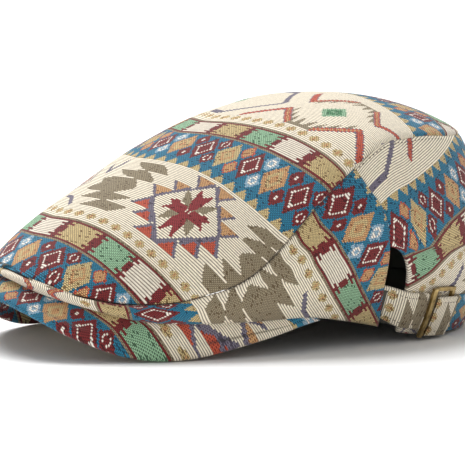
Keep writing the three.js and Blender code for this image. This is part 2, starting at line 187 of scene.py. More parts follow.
def parabola(start, through, end, middle, t):
    """A parabola through three points, at 0, middle and 1."""
    t = np.asarray(t)[..., None]
    return (start * ((t - middle) * (t - 1) / middle)
            + through * (t * (t - 1) / (middle * (middle - 1)))
            + end * (t * (t - middle) / (1 - middle)))


def wall(angle, height):
    """The crown's wall: hem at height 0, belly at 0.5, top seam at 1."""
    return parabola(station_point(CROWN, HEM, angle), station_point(CROWN, BELLY, angle),
                    station_point(CROWN, SEAM, angle), 0.5, height)


def wall_normal(angle, height):
    """Outward directions of the crown's wall."""
    round_it = wall(angle + 0.5, height) - wall(angle - 0.5, height)
    up_it = wall(angle, height + 0.01) - wall(angle, height - 0.01)
    normal = np.cross(round_it, up_it)
    normal /= np.linalg.norm(normal, axis=-1, keepdims=True)
    return normal * np.sign(np.sum(normal * (wall(angle, height) - WALL_INSIDE), axis=-1,
                                    keepdims=True))


def peak_sheet(angle, t):
    """The peak's middle sheet: root at 0, the wall's hem at PEAK_HEM, edge at 1."""
    return parabola(station_point(PEAK, 1, angle), station_point(CROWN, HEM, angle),
                    station_point(PEAK, 4, angle), PEAK_HEM, t)


def run_length(points, axis):
    """Distance along a grid's lines, from each line's first point."""
    step = np.linalg.norm(np.diff(points, axis=axis), axis=-1)
    start = np.zeros_like(np.take(step, [0], axis=axis))
    return np.concatenate((start, np.cumsum(step, axis=axis)), axis=axis)


def outward(points, away_from):
    """Unit normals of a grid of points, facing away from a place inside."""
    normal = np.cross(np.gradient(points, axis=1), np.gradient(points, axis=0))
    normal /= np.maximum(np.linalg.norm(normal, axis=-1, keepdims=True), 1e-9)
    side = np.sign(np.sum(normal * (points - np.array(away_from, float)), axis=-1, keepdims=True))
    return normal * np.where(side == 0, 1, side)


def to_frame(points):
    """Points of the tables, in metres in the CAD's frame."""
    return (points + (0, CENTRE_Y, 0)) * MM


def wobble(points, size, seed):
    """A smooth unevenness from -1 to 1, of about the given size in mm, the same on every run."""
    draw = np.random.default_rng(seed)
    total = np.zeros(points.shape[:-1])
    waves = 7
    for _ in range(waves):
        direction = draw.normal(size=3)
        direction *= 2 * math.pi / (size * draw.uniform(0.7, 1.6) * np.linalg.norm(direction))
        total += np.sin(points @ direction + draw.uniform(0, 2 * math.pi))
    return total / waves ** 0.5 / 1.6


# Sheets of cloth: a grid warped into place, carrying the cloth's own coordinates
def cloth_piece(name, points, cloth, merge=None):
    """A grid of rows x columns set on the given points, with (p, t) kept in its UV map."""
    rows, columns = points.shape[:2]
    shell = bmesh.new()
    bmesh.ops.create_grid(shell, x_segments=columns - 1, y_segments=rows - 1, size=0.5)
    placed = to_frame(points)
    uv = shell.loops.layers.uv.new(CLOTH_UV)
    for vertex in shell.verts:
        column = round((vertex.co.x + 0.5) * (columns - 1))
        row = round((vertex.co.y + 0.5) * (rows - 1))
        for loop in vertex.link_loops:
            loop[uv].uv = cloth[row, column] * MM
        vertex.co = placed[row, column]
    if merge:
        bmesh.ops.remove_doubles(shell, verts=shell.verts[:], dist=merge * MM)
    return finish_mesh(name, shell)


def finish_mesh(name, shell, smooth_faces=True):
    """Puts a bmesh into the scene as a named piece."""
    mesh = bpy.data.meshes.new(name)
    for face in shell.faces:
        face.smooth = smooth_faces
    shell.to_mesh(mesh)
    shell.free()
    piece = bpy.data.objects.new(name, mesh)
    bpy.context.scene.collection.objects.link(piece)
    return piece


def thicken(piece, thickness):
    """Gives a sheet its thickness, inwards, with the lining's material slot inside."""
    solid = piece.modifiers.new("Cloth thickness", "SOLIDIFY")
    solid.thickness = thickness
    solid.offset = -1
    solid.use_even_offset = False
    solid.material_offset = 1


def dress(piece, materials, slot, *nodes):
    """Gives a piece its materials and says what it rides on and replaces; its slot is not used."""
    for material in materials:
        piece.data.materials.append(bpy.data.materials[material])
    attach(piece, "root")
    if nodes:
        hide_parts(*nodes)


# Cloth coordinates: p along the ribs, t across them, both in mm
LEAN = np.array(((0, 0), (60, 0), (80, 5), (118, 25), (150, 38), (180, 47), (400, 49)), float)
WALL_STEP = 0.5
WALL_STEPS = np.arange(0, 401, WALL_STEP)
LEAN_ALONG = np.radians(between(LEAN, WALL_STEPS))
LEAN_COS = np.concatenate(([0], np.cumsum(np.cos(LEAN_ALONG))[:-1] * WALL_STEP))
LEAN_SIN = np.concatenate(([0], np.cumsum(np.sin(LEAN_ALONG))[:-1] * WALL_STEP))
BELLY_STATIONS = np.linspace(0, 180, 721)
BELLY_RUN = run_length(wall(BELLY_STATIONS, np.full(len(BELLY_STATIONS), 0.5)), 0)
FRONT_RUN = BELLY_RUN[-1]
MOVED_FROM, MOVED_TO = 48.3, 109.3  # the part of the repeat that moves with the star's field
SIDE_MOVED, BACK_MOVED, PEAK_MOVED = -5, 29, 11


def belly_run(angle):
    """Distance round the crown at its belly, from the middle of the back."""
    folded = np.where(angle > 180, 360 - angle, np.abs(angle))
    return np.interp(folded, BELLY_STATIONS, BELLY_RUN)


def field_moved(p, t, along):
    """Cloth coordinates with the star's field moved along against the border, as it was cut."""
    moved = along * np.clip(t - MOVED_FROM, 0, 1) * np.clip(MOVED_TO - t, 0, 1)
    return np.stack((p + moved, t), -1)


def eased(table, x, y):
    """How far the cloth is eased: a table's value between its rows (x) and columns (y)."""
    rows, columns, values = table[1:, 0], table[0, 1:], table[1:, 1:]
    i = np.clip(np.searchsorted(rows, x) - 1, 0, len(rows) - 2)
    j = np.clip(np.searchsorted(columns, y) - 1, 0, len(columns) - 2)
    f = np.clip((x - rows[i]) / (rows[i + 1] - rows[i]), 0, 1)
    g = np.clip((y - columns[j]) / (columns[j + 1] - columns[j]), 0, 1)
    return ((values[i, j] * (1 - f) + values[i + 1, j] * f) * (1 - g)
            + (values[i, j + 1] * (1 - f) + values[i + 1, j + 1] * f) * g)


# How the cloth is eased into the side, in mm: rows by distance round the crown, columns by height
SIDE_EASE_T = np.array((
    (0, 0, 25, 50, 75, 100),
    (150, 3.0, 4.5, 10.4, 15.5, 18.7),
    (165, 3.7, 5.4, 11.3, 15.8, 18.5),
    (180, 4.1, 7.2, 11.1, 15.3, 17.7),
    (195, 4.4, 6.9, 9.9, 13.7, 16.3),
    (215, 4.0, 5.9, 8.1, 11.3, 13.9),
    (235, 3.2, 5.3, 7.0, 9.1, 11.3),
    (260, 1.5, 4.1, 4.9, 6.2, 7.9),
    (290, -2.4, -0.5, 1.0, 2.3, 4.0),
    (330, -3.4, -2.8, -1.8, -0.9, 0.6),
    (381, 0, 0, 0, 0, 0),
))
SIDE_EASE_P = np.array((
    (0, 0, 25, 50, 75, 100),
    (150, 39.8, 40.3, 44.2, 46.7, 47.9),
    (165, 41.1, 41.1, 44.7, 46.6, 47.2),
    (180, 41.2, 41.8, 44.2, 45.7, 46.1),
    (195, 39.8, 40.5, 42.2, 43.8, 44.3),
    (215, 36.7, 37.3, 38.7, 40.3, 41.2),
    (235, 33.1, 33.6, 34.8, 36.4, 37.6),
    (260, 28.6, 29.0, 30.1, 31.6, 33.2),
    (290, 24.5, 24.6, 25.7, 27.0, 28.6),
    (330, 24.2, 23.5, 23.5, 24.0, 25.1),
    (381, 24.7, 24.4, 24.1, 24.3, 24.8),
))
SIDE_LEVEL = (114, 5)               # where the repeat ends: distance from the front, height
SIDE_REAR = (240, 264)              # where the rear's own easing starts to fade, and ends


def side_cloth(angle, up, high):
    """The side panel's cloth, its ribs leaning back from the front, eased more at the rear."""
    a = belly_run(angle)
    s = FRONT_RUN - a

    def across(s, up):
        return np.interp(s, WALL_STEPS, LEAN_COS) + up * np.sin(np.radians(between(LEAN, s)))

    t = across(*SIDE_LEVEL) - across(s, up) + RIBS * RIB
    p = up * np.cos(np.radians(between(LEAN, s))) - np.interp(s, WALL_STEPS, LEAN_SIN)
    rear = np.interp(a, SIDE_REAR, (1, 0))
    above = np.clip(high * 2 - 1, 0, 1) ** 1.3
    p = p + eased(SIDE_EASE_P, a, up) - rear * (1 + 8.5 * above)
    t = t + eased(SIDE_EASE_T, a, up) + rear * (0.9 + 6.8 * above)
    return field_moved(p, t, SIDE_MOVED)


# The same for the back, and how far its upper part is eased beyond that
BACK_EASE_T = np.array((
    (0, 0, 25, 50, 75, 90, 108),
    (0, 0, 0, 0, 0, 0, 0),
    (50, 2.2, 2.1, 1.7, 1.0, 0.6, 0.0),
    (80, 5.4, 5.8, 4.8, 2.6, 1.6, 0.6),
    (100, 6.8, 7.5, 6.3, 3.1, 2.0, 1.0),
    (115, 7.0, 7.2, 5.7, 3.3, 2.4, 1.2),
    (130, 6.5, 5.5, 3.6, 3.5, 2.5, 1.3),
    (145, 5.8, 4.3, 2.5, 2.7, 2.0, 1.0),
    (160, 5.0, 3.5, 1.9, 1.5, 1.1, 0.5),
    (175, 4.4, 3.0, 1.5, 0.8, 0.4, 0),
))
BACK_EASE_P = np.array((
    (0, 0, 25, 50, 75, 90, 108),
    (0, 0, 0, 0, 0, 0, 0),
    (50, -0.2, 0, 0.3, 0.8, 1.1, 1.6),
    (80, -0.6, -0.3, 0.5, 1.9, 2.6, 3.0),
    (100, -0.8, -0.6, 0.1, 1.9, 3.0, 3.3),
    (115, -1.0, -0.9, -0.6, 1.0, 2.2, 2.9),
    (130, -1.1, -0.9, -1.0, 0, 1.1, 2.1),
    (145, -1.2, -0.9, -0.9, -0.6, 0.3, 1.3),
    (160, -1.3, -1.1, -1.2, -0.9, -0.2, 0.7),
    (175, -1.5, -1.3, -1.3, -1.0, -0.5, 0.3),
))
BACK_TOP_T = np.array(((40, 0), (100, 6), (120, 8), (140, 10.2), (175, 11)))
BACK_TOP_P = np.array(((40, 0), (100, 1.5), (120, 2.8), (150, 4.8)))
BACK_SLOPE, BACK_TURN = math.radians(28.6), 100    # the ribs' full slope, and where they reach it
BACK_LEVEL, BACK_START = 135, 13


def back_cloth(angle, up, high):
    """The back panel's cloth, level at the middle of the back and sloping down to the sides."""
    a = belly_run(angle)
    steps = np.arange(0, 2 * BACK_TURN + 1, 1.0)
    share = np.clip(steps / BACK_TURN, 0, 1)
    slope = BACK_SLOPE * share * share * (3 - 2 * share)
    sine = np.concatenate(([0], np.cumsum(np.sin(slope))[:-1]))
    cosine = np.concatenate(([0], np.cumsum(np.cos(slope))[:-1]))
    at = np.interp(a, steps, slope)
    level = BACK_LEVEL - math.sin(BACK_SLOPE) * BACK_TURN + sine[BACK_TURN]
    start = BACK_START + math.cos(BACK_SLOPE) * BACK_TURN - cosine[BACK_TURN]
    above = np.clip((high - 0.33) / 0.25, 0, 1)
    t = level - np.interp(a, steps, sine) - up * np.cos(at)
    p = start + np.interp(a, steps, cosine) - up * np.sin(at)
    t = t + eased(BACK_EASE_T, a, up) + above * between(BACK_TOP_T, a)
    p = p + eased(BACK_EASE_P, a, up) + above * between(BACK_TOP_P, a)
    return field_moved(p, t, BACK_MOVED)


# The top: how far the ribs bend, their places along the ridge, and the easing across it
TOP_BEND = np.array(((0, 0.03), (26, 0.06), (44, 0.15), (106, 0.25), (150, 0.38), (180, 0.28),
                     (212, 0.05), (280, 0)))
TOP_BANDS = np.array(((-20, -22), (24.5, 30), (38, 45.5), (94, 110.5), (121, 140), (135, 155.5),
                      (212, 220), (290, 300)))
BEND_ROUND = 20       # the bend is rounded off this near to the ridge
TOP_EASE_T = np.array((
    (0, 0, 15, 30, 45, 60, 80, 100, 120, 140, 165, 190, 220, 280),
    (0, 5.0, 3.6, 2.7, 2.2, 2.0, 2.2, 2.9, 3.3, 2.3, 2.2, 2.0, 1.3, 0),
    (20, 5.8, 3.8, 1.7, 0.9, 0.6, 0.9, 1.5, 1.3, 1.0, 1.8, 1.7, 1.1, 0),
    (40, 5.6, 4.4, 2.3, 0.8, 0.2, 0.1, 0, 0, 0.8, 1.8, 1.5, 0.9, 0),
    (60, 4.1, 3.5, 2.9, 2.2, 1.3, 0.6, 0.2, 0.4, 1.1, 1.6, 1.2, 0.7, 0),
    (80, 3.3, 2.7, 2.6, 2.8, 2.6, 2.5, 2.6, 2.9, 2.7, 1.5, 1.1, 0.8, 0),
    (100, 3.4, 3.0, 2.9, 3.1, 3.6, 4.6, 5.8, 6.4, 5.6, 2.6, 1.7, 1.2, 0.2),
))
TOP_EASE_P = np.array((
    (0, 0, 15, 30, 45, 60, 80, 100, 120, 140, 165, 190, 220, 280),
    (0, 8.1, 6.0, 3.3, 1.4, 0.1, -1.1, -1.7, -1.9, -1.3, -0.4, 0.3, 0.5, 0),
    (20, 3.8, 2.0, 0.1, -1.1, -1.9, -2.2, -2.2, -1.7, -0.8, 0.2, 0.7, 0.7, -0.2),
    (40, 0.4, -1.2, -2.4, -3.0, -3.2, -2.7, -1.6, -0.3, 0.7, 1.3, 1.4, 1.0, -0.3),
    (60, -2.1, -3.3, -4.0, -4.3, -4.0, -3.0, -1.3, 0.6, 1.9, 2.2, 1.8, 1.2, -0.5),
    (80, -3.9, -4.8, -5.2, -5.2, -4.7, -3.5, -1.8, 0.1, 1.6, 2.1, 1.8, 1.0, -0.8),
    (100, -5.2, -5.8, -6.1, -6.0, -5.4, -4.3, -2.8, -1.2, 0.2, 1.1, 1.1, 0.5, -1.4),
))


def top_cloth(u, v):
    """The top panel's cloth, from the distance across from the ridge and the distance along it."""
    q = v - between(TOP_BEND, v) * (np.sqrt(u * u + BEND_ROUND ** 2) - BEND_ROUND)
    t = between(TOP_BANDS, q) + eased(TOP_EASE_T, np.abs(u), v)
    middle = eased(TOP_EASE_P, 0 * u, v)
    return np.stack((u + middle + np.sign(u) * (eased(TOP_EASE_P, np.abs(u), v) - middle), t), -1)


# The peak: distance from its middle across and along the cloth, and the fall of its face
PEAK_ARC = np.array(((0, 0), (12, 12.2), (25.2, 25.8), (40.8, 42.7), (53.3, 57.8), (59.4, 66),
                     (66, 75.4), (73.5, 83.5), (84, 96)))
PEAK_START, PEAK_LEVEL, PEAK_FRONT = -28, 30.5, 109.6
PEAK_FOOT = 17        # above this height the face falls more steeply


def peak_cloth(points):
    """The peak's cloth, laid over its face from above."""
    x, y, z = points[..., 0], points[..., 1], points[..., 2]
    drop = 0.5 * z + 0.6 * np.log1p(np.exp(np.clip(z - PEAK_FOOT, -30, 30)))
    t = PEAK_LEVEL + ((y + drop) / 1.118 + PEAK_FRONT) * 1.05
    return field_moved(np.sign(x) * between(PEAK_ARC, np.abs(x)) + PEAK_START, t, PEAK_MOVED)


# The weaver's draft: cells of one rib by one thread, filled with colour numbers
class Draft:
    """A chart of the cloth's repeat; along and across are the middles of its cells in mm."""

    def __init__(self, threads, centre=0.0):
        size = (BORDER_RIBS, threads)
        self.cells = np.zeros(size, int)
        self.along = np.broadcast_to((np.arange(threads) + 0.5) * THREAD, size)
        across = (np.arange(BORDER_RIBS) + 0.5) * RIB - centre
        self.across = np.broadcast_to(across[:, None], size)

    def fill(self, colour, *corners):
        """Colours the cells inside a polygon of (along, across) corners."""
        inside = np.zeros(self.cells.shape, bool)
        for (x0, y0), (x1, y1) in zip(corners, corners[1:] + corners[:1]):
            if y0 != y1:
                crosses = (self.across < max(y0, y1)) & (self.across >= min(y0, y1))
                inside ^= crosses & (self.along < x0 + (self.across - y0) * (x1 - x0) / (y1 - y0))
        self.cells[inside] = colour

    def diamond(self, along, across, half_width, half_height, *rings):
        """Nested diamonds, from the edge inwards: (share of the size, colour)."""
        for share, colour in rings:
            w, h = half_width * share, half_height * share
            self.fill(colour, (along - w, across), (along, across - h),
                      (along + w, across), (along, across + h))

    def line(self, colour, width, *points):
        """A stepped line through the points, as wide across as given."""
        half = width / 2
        for (x0, y0), (x1, y1) in zip(points, points[1:]):
            self.fill(colour, (x0, y0 - half), (x1, y1 - half), (x1, y1 + half), (x0, y0 + half))


def border_draft():
    """Teeth, the blue band of diamonds, the block band and the row of small motifs."""
    draft = Draft(BORDER_THREADS)
    draft.cells[:24] = BLUE
    for tooth in range(-1, 9):
        middle = 8.5 + tooth * REPEAT / 8
        draft.fill(GOLD, (middle - 3.3, -0.1), (middle + 3.3, -0.1), (middle, 5.6))
    red = ((1, MAROON), (0.64, WHITE), (0.51, MAROON))
    big = {7: ((1, ORANGE), (0.62, GOLD), (0.3, ORANGE)), 22.25: red,
           37.5: ((1, GOLD), (0.55, ORANGE), (0.35, GOLD)), 52.75: red}
    for along, rings in big.items():
        draft.diamond(along, 18.2, 6.7, 10.8, *rings)
        draft.diamond(along + REPEAT, 18.2, 6.7, 10.8, *rings)
    sky = ((1, SKY), (0.6, WHITE), (0.35, SKY))
    small = {14.65: ((1, MAROON), (0.3, WHITE)),
             29.85: ((1, MAROON), (0.58, WHITE), (0.42, MAROON)),
             45.15: ((1, CORAL), (0.8, ORANGE)), 60.35: sky, -0.65: sky}
    for along, rings in small.items():
        for across in (11.4, 25):
            draft.diamond(along, across, 3.95, 5.8, *rings)
    for rib, colour in ((24, TAUPE), (25, MAROON), (36, MAROON), (37, TAUPE)):
        draft.cells[rib] = colour
    draft.cells[26:36] = MAROON
    blocks = ((-0.75, PINK), (20.25, GOLD), (40.75, GREEN), (60.25, PINK))
    for middle, colour in blocks:
        for rib, red_half in enumerate((1.2, 3.6, 0.9, 2.3, 2.3, 2.3, 2.3, 0.9, 3.6, 1.2)):
            here = np.abs(draft.along[26 + rib] - middle) < REPEAT / 6 - red_half
            draft.cells[26 + rib][here] = colour
    for motif in range(9):
        middle = motif * REPEAT / 8
        for rib, wide, inner in ((40, 1.1, 0), (41, 2.4, 0.9), (42, 2.4, 0.9), (43, 1.1, 0)):
            away = np.abs(draft.along[rib] - middle)
            draft.cells[rib][away < wide] = GOLD
            draft.cells[rib][away < inner] = ORANGE
    return draft.cells


def star_draft():
    """The eight-armed star, its ring of teeth and the tree beside it, folded about its axis."""
    draft = Draft(FIELD_THREADS, 27.2)
    ring = ((0, 24), (6.4, 16), (14.2, 7.2), (20.4, -0.8), (14.6, -8), (6.8, -15.4), (0, -22))
    draft.line(LAVENDER, 2.0, *ring)
    for middle, top, foot, half in ((6.4, 24.9, 15.6, 6.2), (14.2, 15.6, 6.6, 6.2),
                                    (20.6, 7.3, -1.2, 6.6)):
        draft.fill(LAVENDER, (middle - half, top), (middle + half, top), (middle, foot))
        draft.fill(ORANGE, (middle - half + 1.7, top), (middle + half - 1.7, top),
                   (middle, foot + 2.4))
    for middle, base, tip in ((6.8, -23.2, -14.2), (14.7, -16.4, -7.4), (20.8, -9.6, -0.8)):
        draft.fill(LAVENDER, (middle - 6.8, base), (middle + 6.8, base), (middle, tip))
        draft.fill(CORAL, (middle - 4.7, base), (middle + 4.7, base), (middle, tip - 2.8))
    draft.fill(TAUPE, (1.2, 2), (7, 4.4), (9.6, 13), (3.8, 9))
    draft.fill(TAUPE, (1.4, -2.4), (7.8, -4.2), (9.2, -11.2), (3.8, -7.6))
    # The star's arms, across the cloth both ways and along it
    draft.fill(CRIMSON, (-1, 0), (0.6, 0.6), (3.2, 7), (3.5, 12), (4.2, 17), (3.4, 17), (0, 12.4),
               (-1, 12.4))
    draft.fill(CRIMSON, (-1, 0), (0.8, 0), (3.5, -6), (3.7, -10), (4.3, -16.4), (3.4, -16.4),
               (0, -10.8), (-1, -10.8))
    draft.fill(CRIMSON, (0.8, 0), (2.2, -2.9), (9, -3.4), (13, -4.8), (9.4, -0.8), (13, 3.1),
               (9, 3.6), (2.2, 2.9))
    # The tree's branches, in turn across the cloth
    draft.fill(TAUPE, (51, 24), (34, 24), (30, 21.5), (25.5, 16.6), (39, 16.4), (44, 18.3),
               (48, 20.5))
    draft.fill(TAUPE, (57, 15), (39, 16.4), (35, 14.6), (30, 10.8), (29, 8.4), (39, 8), (46, 9.3),
               (51, 10.6))
    draft.fill(TAUPE, (39, 8.2), (55, 8), (62, 4.8), (58, 0.5), (62, -3), (64, -7.4), (42, -7.4),
               (33.5, -0.5), (33.5, 2))
    draft.fill(TAUPE, (49, -7.2), (29, -7.2), (31, -9.5), (36, -13.2), (41, -14.8), (58, -14.4))
    draft.fill(TAUPE, (41, -14.4), (24.5, -14.4), (29, -20), (31, -22.6), (51, -22.6))
    draft.line(LAVENDER, 3.2, (56, -23), (64, -17.5), (73, -17))
    draft.line(LAVENDER, 4.5, (61, 24), (67, 10), (72, 17))
    draft.diamond(82, 0, 9, 13, (1, LAVENDER), (0.8, CREAM), (0.5, CRIMSON), (0.2, CREAM))
    return draft.cells


def hexagon_draft():
    """Hexagons in coral lines with serrated edges and a green middle, folded about one's axis."""
    draft = Draft(FIELD_THREADS, 23.5)
    for side in (-1, 1):
        edge = ((0, side * 21), (7.5, side * 21), (24, side * 6.5), (40.5, side * 21))
        for x in (2.6, 7.8, 13, 18.2):
            foot = np.interp(x, (0, 7.5, 24), (21, 21, 6.5)) * side
            draft.fill(TAUPE, (x - 2.3, foot), (x + 2.3, foot), (x + 1.4, foot - 8.5 * side))
        draft.line(TAUPE, 1.3, edge[0], edge[1])
        draft.line(LAVENDER, 5, edge[1], edge[2], edge[3])
        draft.line(CORAL, 3.8, edge[1], edge[2], edge[3])
        draft.line(ORANGE, 1.3, edge[1], edge[2])
        draft.line(LAVENDER, 3.4, (36, 0), (61, 20.5 * side), (76, 20.5 * side))
    for middle in (0, 91.4):
        draft.diamond(middle, -0.4, 8.6, 7.4, (1, GREEN), (0.6, FOREST), (0.2, GREEN))
    return draft.cells


# Materials
def hexed(code):
    """An sRGB hex colour as linear values."""
    parts = [int(code[i:i + 2], 16) / 255 for i in (0, 2, 4)]
    linear = [c / 12.92 if c <= 0.04045 else ((c + 0.055) / 1.055) ** 2.4 for c in parts]
    return (*linear, 1.0)


def add(tree, kind, *inputs, named=None, output=0, **settings):
    """Adds a node by its type, or a Math node by its operation, and gives one of its outputs.

    Inputs are values or sockets in order, and named ones by name or number; settings are set on it.
    """
    if kind.isupper():
        kind, settings["operation"] = "ShaderNodeMath", kind
    node = tree.nodes.new(kind)
    for key, value in settings.items():
        setattr(node, key, value)
    given = list(enumerate(inputs)) + list((named or {}).items())
    for key, value in given:
        if value is None:
            continue
        if isinstance(value, bpy.types.NodeSocket):
            tree.links.new(value, node.inputs[key])
        else:
            node.inputs[key].default_value = value
    return node.outputs[output]


MIX, RAMP, RANGE = "ShaderNodeMix", "ShaderNodeValToRGB", "ShaderNodeMapRange"
PLACE, NOISE, BUMP = "ShaderNodeTexCoord", "ShaderNodeTexNoise", "ShaderNodeBump"
COLOURS = {"data_type": "RGBA", "output": 2}       # a Mix node's settings for colours
DYES = 16             # room for colour numbers in one digit
DIGITS = 6            # threads held in one number
CHANNELS = 3          # numbers held in one ramp's colour
BLOCK = CHANNELS * DIGITS
RAMP_RIBS, RAMP_PLACES = 30, 32     # ribs held in one ramp, and the steps it is divided into


def set_stops(ramp, stops):
    """Fills a constant ramp with (place, colour) stops."""
    band = ramp.node.color_ramp
    band.interpolation = "CONSTANT"
    while len(band.elements) > 1:
        band.elements.remove(band.elements[-1])
    band.elements[0].position, band.elements[0].color = stops[0]
    for place, colour in stops[1:]:
        band.elements.new(place).color = colour


def packed_threads(threads):
    """A block of threads' colour numbers, six to a number, as one ramp colour."""
    return tuple(float(sum(int(colour) * DYES ** digit for digit, colour in enumerate(
        threads[start:start + DIGITS]))) for start in range(0, BLOCK, DIGITS))


def chart_ramps(tree, cells, row, column_block):
    """Ramps of packed threads for each set of up to 30 ribs, chosen by rib and by block."""
    chosen = None
    for first in range(0, len(cells), RAMP_RIBS):
        part = cells[first:first + RAMP_RIBS]
        place = add(tree, "MULTIPLY_ADD", row, 1 / RAMP_PLACES, (0.5 - first) / RAMP_PLACES)
        across = None
        for start in range(0, cells.shape[1], BLOCK):
            stops = []
            for rib, threads in enumerate(part[:, start:start + BLOCK]):
                packed = packed_threads(threads)
                if not stops or stops[-1][1][:CHANNELS] != packed:
                    stops.append((rib / RAMP_PLACES, (*packed, 1.0)))
            ramp = add(tree, RAMP, place)
            set_stops(ramp, stops)
            past = add(tree, "GREATER_THAN", column_block, start / BLOCK - 0.5)
            if across:
                ramp = add(tree, MIX, named={0: past, 6: across, 7: ramp}, **COLOURS)
            across = ramp
        past = add(tree, "GREATER_THAN", row, first - 0.5)
        if chosen:
            across = add(tree, MIX, named={0: past, 6: chosen, 7: across}, **COLOURS)
        chosen = across
    return chosen


def pattern_group():
    """The kilim cloth's colour and relief, from its own coordinates."""
    tree = bpy.data.node_groups.new("Kilim cloth", "ShaderNodeTree")
    for name, kind in (("Color", "NodeSocketColor"), ("Height", "NodeSocketFloat")):
        tree.interface.new_socket(name, in_out="OUTPUT", socket_type=kind)
    place = add(tree, "ShaderNodeUVMap", uv_map=CLOTH_UV)
    split = add(tree, "ShaderNodeSeparateXYZ", place).node
    p = add(tree, "MULTIPLY", split.outputs[0], 1 / MM)
    t = add(tree, "MULTIPLY", split.outputs[1], 1 / MM)
    rib_place = add(tree, "MULTIPLY", t, 1 / RIB)
    rib = add(tree, "FLOOR", rib_place)
    rib_phase = add(tree, "FRACT", rib_place)
    rib_here = add(tree, "FLOORED_MODULO", rib, float(RIBS))
    lap = add(tree, "MULTIPLY_ADD", rib, 1 / RIBS, 0.0001)
    lap = add(tree, "FLOOR", lap)
    odd = add(tree, "FLOORED_MODULO", lap, 2.0)
    field = add(tree, "GREATER_THAN", rib_here, BORDER_RIBS - 0.5)
    hexagon = add(tree, "GREATER_THAN", odd, 0.5)

    # Threads: counted on along the border, folded about the motif's axis in the fields
    border_thread = add(tree, "ADD", p, -BORDER_START)
    border_thread = add(tree, "MULTIPLY", border_thread, 1 / THREAD)
    border_thread = add(tree, "FLOOR", border_thread)
    border_thread = add(tree, "FLOORED_MODULO", border_thread, float(BORDER_THREADS))
    axis = add(tree, "MULTIPLY_ADD", hexagon, HEXAGON_AXIS - STAR_AXIS, STAR_AXIS)
    folded = add(tree, "SUBTRACT", p, axis)
    folded = add(tree, "PINGPONG", folded, FIELD_THREADS * THREAD)
    field_thread = add(tree, "MULTIPLY", folded, 1 / THREAD)
    field_thread = add(tree, "FLOOR", field_thread)
    field_thread = add(tree, "MINIMUM", field_thread, FIELD_THREADS - 1.0)
    thread = add(tree, MIX, field, None, border_thread, field_thread)
    block = add(tree, "MULTIPLY_ADD", thread, 1 / BLOCK, 0.01)
    block = add(tree, "FLOOR", block)
    in_block = add(tree, "MULTIPLY_ADD", block, -float(BLOCK), thread)
    field_rib = add(tree, "ADD", rib_here, -float(BORDER_RIBS))

    border = chart_ramps(tree, border_draft(), rib_here, block)
    star = chart_ramps(tree, star_draft(), field_rib, block)
    hexagons = chart_ramps(tree, hexagon_draft(), field_rib, block)
    fields = add(tree, MIX, named={0: hexagon, 6: star, 7: hexagons}, **COLOURS)
    chart = add(tree, MIX, named={0: field, 6: border, 7: fields}, **COLOURS)

    # One digit out of the three numbers of six
    picker = add(tree, "MULTIPLY_ADD", in_block, 1 / RAMP_PLACES, 0.5 / RAMP_PLACES)
    picker = add(tree, RAMP, picker)
    set_stops(picker, [(i / RAMP_PLACES, (*(float(DYES) ** -(i % DIGITS) * (i // DIGITS == channel)
                                            for channel in range(CHANNELS)), 1.0))
                       for i in range(BLOCK)])
    number = add(tree, "ShaderNodeVectorMath", chart, picker, output="Value",
                 operation="DOT_PRODUCT")
    number = add(tree, "FLOOR", number)
    number = add(tree, "FLOORED_MODULO", number, float(DYES))
    dye_place = add(tree, "MULTIPLY_ADD", number, 1 / DYES, 0.5 / DYES)
    face, painted_shade = add(tree, RAMP, dye_place), add(tree, RAMP, dye_place)
    set_stops(face, [(i / DYES, hexed(code)) for i, code in enumerate(FACES)])
    set_stops(painted_shade, [(i / DYES, hexed(code)) for i, code in enumerate(PAINTED_SHADES)])

    # Cream, white and pink show whole ribs, the other colours fine short floats laid like bricks
    ground = add(tree, RAMP, dye_place)
    set_stops(ground, [(i / DYES, (whole, whole, whole, 1)) for i, whole in (
        (CREAM, 1), (CREAM + 1, 0), (WHITE, 1), (WHITE + 1, 0), (PINK, 1), (PINK + 1, 0))])
    from_gap = add(tree, "SUBTRACT", rib_phase, 0.5)
    from_gap = add(tree, "ABSOLUTE", from_gap)
    gap = add(tree, RANGE, from_gap, 0.24, 0.42, 0.0, 1.0)
    fine_place = add(tree, "MULTIPLY", rib_place, 2.0)
    fine_rib = add(tree, "FLOOR", fine_place)
    fine_phase = add(tree, "FRACT", fine_place)
    fine_phase = add(tree, "SUBTRACT", fine_phase, 0.5)
    fine_phase = add(tree, "ABSOLUTE", fine_phase)
    fine_gap = add(tree, RANGE, fine_phase, 0.2, 0.42, 0.0, 1.0)
    half = add(tree, "FLOORED_MODULO", fine_rib, 2.0)
    half = add(tree, "MULTIPLY", half, 0.5)
    float_place = add(tree, "MULTIPLY_ADD", p, 0.5 / THREAD, half)
    from_end = add(tree, "FRACT", float_place)
    from_end = add(tree, "SUBTRACT", from_end, 0.5)
    from_end = add(tree, "ABSOLUTE", from_end)
    notch = add(tree, RANGE, from_end, 0.28, 0.42, 0.0, 1.0)
    cell = add(tree, "FLOOR", float_place)
    cell = add(tree, "ShaderNodeCombineXYZ", cell, fine_rib)
    chance = add(tree, "ShaderNodeTexWhiteNoise", cell, noise_dimensions="2D")
    speck = add(tree, "GREATER_THAN", chance, 0.92)
    short = add(tree, "MAXIMUM", notch, speck)
    short = add(tree, "MULTIPLY", short, 0.9)
    in_gap = add(tree, "MULTIPLY_ADD", notch, 0.2, 0.8)
    in_gap = add(tree, "MULTIPLY", gap, in_gap)
    in_colour = add(tree, "MULTIPLY", fine_gap, 0.95)
    in_colour = add(tree, "MAXIMUM", in_colour, short)
    # Painted shade: the gaps between ribs and the floats' ends take each dye's darker copy;
    # scattered random specks take the same darker colour
    dark = add(tree, MIX, ground, None, in_colour, in_gap)
    woven = add(tree, MIX, named={0: dark, 6: face, 7: painted_shade}, **COLOURS)

